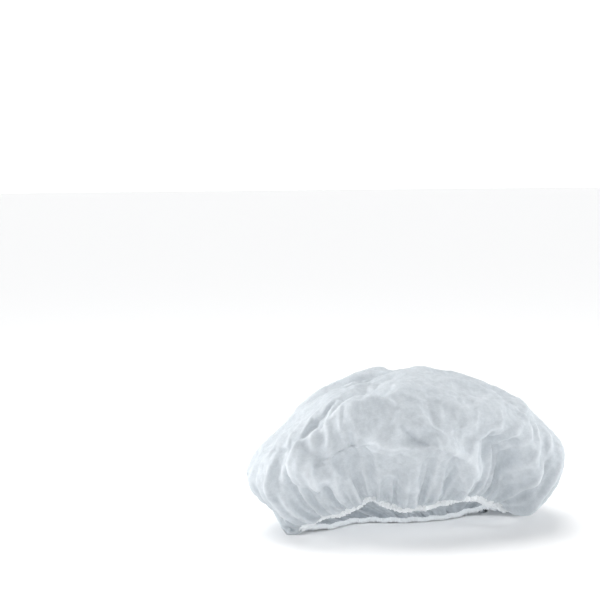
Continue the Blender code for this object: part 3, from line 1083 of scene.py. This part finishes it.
def hem_points(sizes, frames, place, side):
    """Places of the hem's points: a bead round the elastic, a pinch and a seam above it."""
    rim, up, out = (part[place] for part in frames)
    turn = place / len(frames[0])
    ruche = np.zeros(len(place))
    for count, height, seed in HEM_RUCHES:
        ruche += height * pleat_wave(turn * count + 0.5 * np.sin(turn * 40.0 + seed), seed)[0]
    low = np.sin(side)
    lifted = smooth_step(rim[:, 2] / sizes.mouth_lift, WIDENS_FROM, WIDENS_TO)
    wide = 0.5 * sizes.hem_wide * (HEM_FLAT + (1.0 - HEM_FLAT) * lifted)
    tall = 0.5 * sizes.hem_drop + HEM_OVERLAP
    bunch = np.ones(len(place))
    for spot, reach, growth in HEM_BUNCHES:
        gap = np.abs((turn - spot + 0.5) % 1.0 - 0.5)
        bunch += growth * np.exp(-((gap / reach) ** 2))
    pinch = 1.0 - PINCH_DEPTH * np.exp(-(((low - PINCH_AT) / PINCH_REACH) ** 2))
    pinch -= TOP_NARROWER * smooth_step(low, 0.7, 1.0)
    puff = np.maximum(1.0 + RUCHE_OUT * ruche, RUCHE_THINNEST)
    puff = np.where(np.cos(side) < 0.0, np.clip(puff, *INNER_PUFF), puff)
    round_side = np.sign(np.cos(side)) * np.abs(np.cos(side)) ** SIDE_ROUNDNESS
    across = wide * round_side * pinch * puff * bunch - HEM_INWARD * wide
    height = tall * (low * (1.0 + RUCHE_UP * ruche) * bunch - 1.0) + 2.0 * HEM_OVERLAP
    points = rim + out * across[:, None] + up * height[:, None]
    points[:, 2] = np.maximum(points[:, 2], CAD_BOX[0].z)
    return points


class CAP_OT_elastic(bpy.types.Operator):
    """Gives the strand of elastic its finish"""

    bl_idname = "cap.elastic"
    bl_label = "Elastic"

    def execute(self, context):
        strand = bpy.data.objects["elastic"]
        strand.data.materials.clear()
        strand.data.materials.append(elastic_material(context.scene.cap_colours))
        return {"FINISHED"}


def floor_material(colour):
    material, _, _, shader = new_material("floor")
    shader.inputs["Base Color"].default_value = colour
    shader.inputs["Roughness"].default_value = 0.9
    shader.inputs["Specular IOR Level"].default_value = 0.2
    return material


def add_light(name, size, power, place, target):
    """A round soft box that points at a target."""
    light = bpy.data.lights.new(name, "AREA")
    light.shape = "DISK"
    light.size = size
    light.energy = power
    lamp = bpy.data.objects.new(name, light)
    lamp.location = place
    aim = Vector(target) - Vector(place)
    lamp.rotation_euler = aim.to_track_quat("-Z", "Y").to_euler()
    bpy.context.scene.collection.objects.link(lamp)


class CAP_OT_stage(bpy.types.Operator):
    """Sets the floor, the camera and the lights"""

    bl_idname = "cap.stage"
    bl_label = "Stage"

    def execute(self, context):
        stage = context.scene.cap_stage
        deselect_all()
        bpy.ops.mesh.primitive_circle_add(
            vertices=96, radius=FLOOR_RADIUS, fill_type="NGON", location=(0.0, 0.0, -FLOOR_GAP)
        )
        floor = context.object
        floor.name = "floor"
        floor.data.materials.append(floor_material(stage.floor))
        apply_place(floor)
        self.add_camera(context.scene, stage)
        self.add_lights(context.scene)
        return {"FINISHED"}

    def add_camera(self, scene, stage):
        """Puts the cap's middle where the image has it, without a lens shift."""
        turn, rise = stage.azimuth, stage.elevation
        back = Vector(
            (math.sin(turn) * math.cos(rise), -math.cos(turn) * math.cos(rise), math.sin(rise))
        )
        camera = bpy.data.objects.new("camera", bpy.data.cameras.new("camera"))
        scene.collection.objects.link(camera)
        camera.data.lens = stage.lens
        camera.data.sensor_width = SENSOR
        camera.location = Vector(AIM) + back * stage.pixel * IMAGE * stage.lens / SENSOR
        middle = 0.5 * IMAGE
        across = (CAP_AT[0] - middle) / IMAGE * SENSOR / stage.lens
        upward = (middle - CAP_AT[1]) / IMAGE * SENSOR / stage.lens
        towards = Vector((across, upward, -1.0)).normalized()
        look = (-back).to_track_quat("-Z", "Y")
        camera.rotation_mode = "QUATERNION"
        camera.rotation_quaternion = look @ towards.rotation_difference(Vector((0, 0, -1)))
        scene.camera = camera

    def add_lights(self, scene):
        scene.world = studio_world()
        scene.view_settings.view_transform = "Standard"
        for box in SOFT_BOXES:
            add_light(*box)
        ceiling = bpy.data.lights.new("ceiling", "SUN")
        ceiling.energy = CEILING_STRENGTH
        ceiling.angle = CEILING_ANGLE
        lamp = bpy.data.objects.new("ceiling", ceiling)
        lamp.rotation_euler = Vector(CEILING_WAY).to_track_quat("-Z", "Y").to_euler()
        scene.collection.objects.link(lamp)


def studio_world():
    """A white backdrop low down, dimmer behind the camera, under a dim ceiling."""
    world = bpy.data.worlds.new("studio")
    world.use_nodes = True
    nodes, links = world.node_tree.nodes, world.node_tree.links
    sky = nodes["Background"]
    place = nodes.new("ShaderNodeTexCoord")
    axes = nodes.new("ShaderNodeSeparateXYZ")
    links.new(place.outputs["Generated"], axes.inputs["Vector"])
    band = map_range(nodes, links, axes.outputs["Z"], BACKDROP_FADE, (1.0, OVERHEAD_SHARE))
    sides = (FRONT_STRENGTH, BACK_STRENGTH)
    front = map_range(nodes, links, axes.outputs["Y"], (-0.8, -0.1), sides)
    strength = nodes.new("ShaderNodeMath")
    strength.operation = "MULTIPLY"
    links.new(band, strength.inputs[0])
    links.new(front, strength.inputs[1])
    links.new(strength.outputs[0], sky.inputs["Strength"])
    sky.inputs["Color"].default_value = (0.985, 0.995, 1.0, 1.0)
    return world


class CAP_PT_panel(bpy.types.Panel):
    """Lists the cap's sizes, colours and pieces"""

    bl_label = "Bouffant cap"
    bl_idname = "CAP_PT_panel"
    bl_space_type = "VIEW_3D"
    bl_region_type = "UI"
    bl_category = "Bouffant cap"

    def draw(self, context):
        layout = self.layout
        for group in (context.scene.cap_sizes, context.scene.cap_colours, context.scene.cap_stage):
            for name in group.bl_rna.properties.keys():
                if name not in ("rna_type", "name"):
                    layout.prop(group, name)
        for operator in OPERATORS:
            layout.operator(operator.bl_idname)


OPERATORS = (CAP_OT_stage, CAP_OT_crown, CAP_OT_hem, CAP_OT_elastic)
CLASSES = (CapSizes, CapColours, CapStage, *OPERATORS, CAP_PT_panel)


def register():
    for item in CLASSES:
        bpy.utils.register_class(item)
    bpy.types.Scene.cap_sizes = bpy.props.PointerProperty(type=CapSizes)
    bpy.types.Scene.cap_colours = bpy.props.PointerProperty(type=CapColours)
    bpy.types.Scene.cap_stage = bpy.props.PointerProperty(type=CapStage)


def unregister():
    for name in ("cap_stage", "cap_colours", "cap_sizes"):
        delattr(bpy.types.Scene, name)
    for item in reversed(CLASSES):
        bpy.utils.unregister_class(item)


def main():
    register()
    bpy.ops.cap.stage()
    bpy.ops.cap.crown()
    bpy.ops.cap.hem()
    bpy.ops.cap.elastic()


if __name__ == "__main__":
    main()
